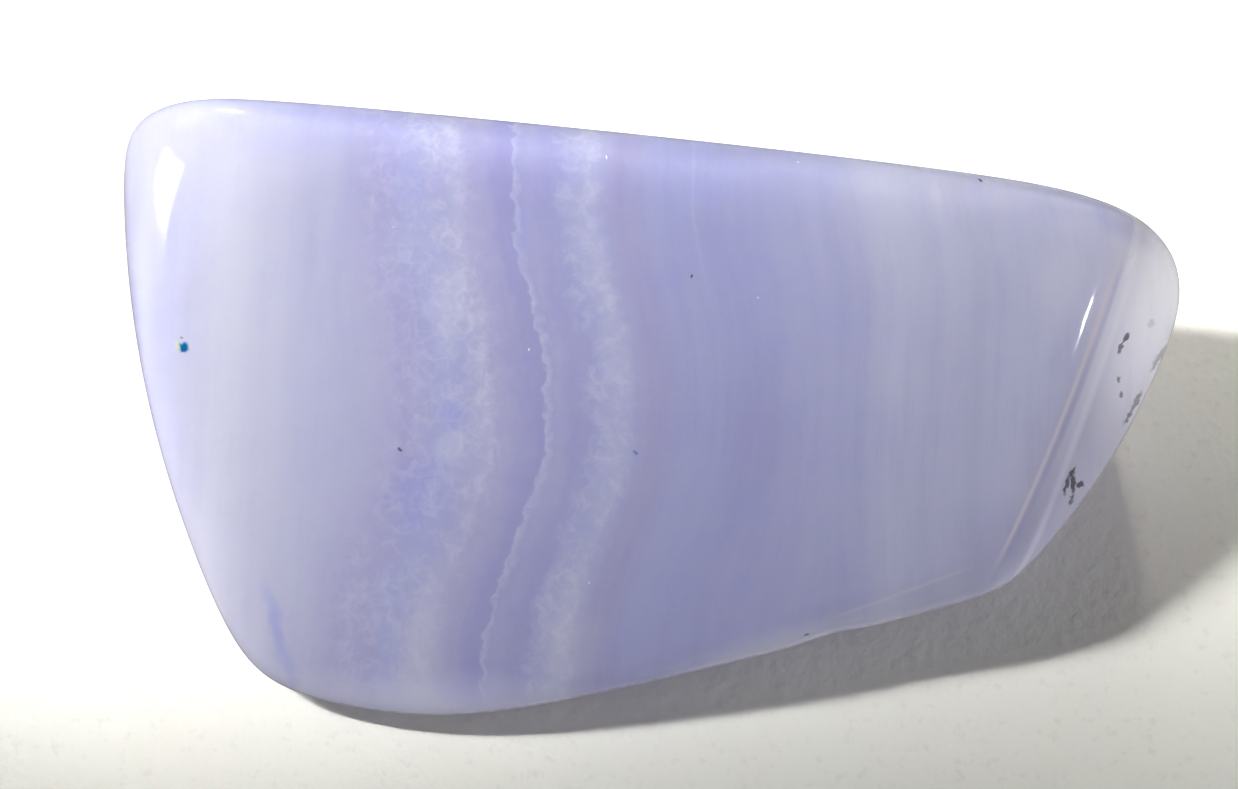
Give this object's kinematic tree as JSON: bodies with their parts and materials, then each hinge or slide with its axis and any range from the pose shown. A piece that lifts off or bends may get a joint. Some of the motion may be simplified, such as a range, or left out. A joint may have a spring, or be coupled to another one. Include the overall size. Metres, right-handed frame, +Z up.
{
  "type": "tumbled blue lace agate",
  "caption": "Polished tumbled agate pebble, wedge-shaped with a broad sloping top, pale blue-violet with fine lacy bands across it, lying on its flat.",
  "frame": {"origin": "on the surface that the stone rests on, under the middle of its box", "axes": "+X along the stone towards its faceted end, +Y towards its steep back, +Z up"},
  "size_m": [0.032, 0.0164, 0.0112],
  "materials": {
    "polished_agate": "tumbled polish, slightly translucent, pale blue-violet with white lacy bands"
  },
  "bodies": {
    "root": {"agate_pebble": "polished_agate"}
  },
  "joints": []
}
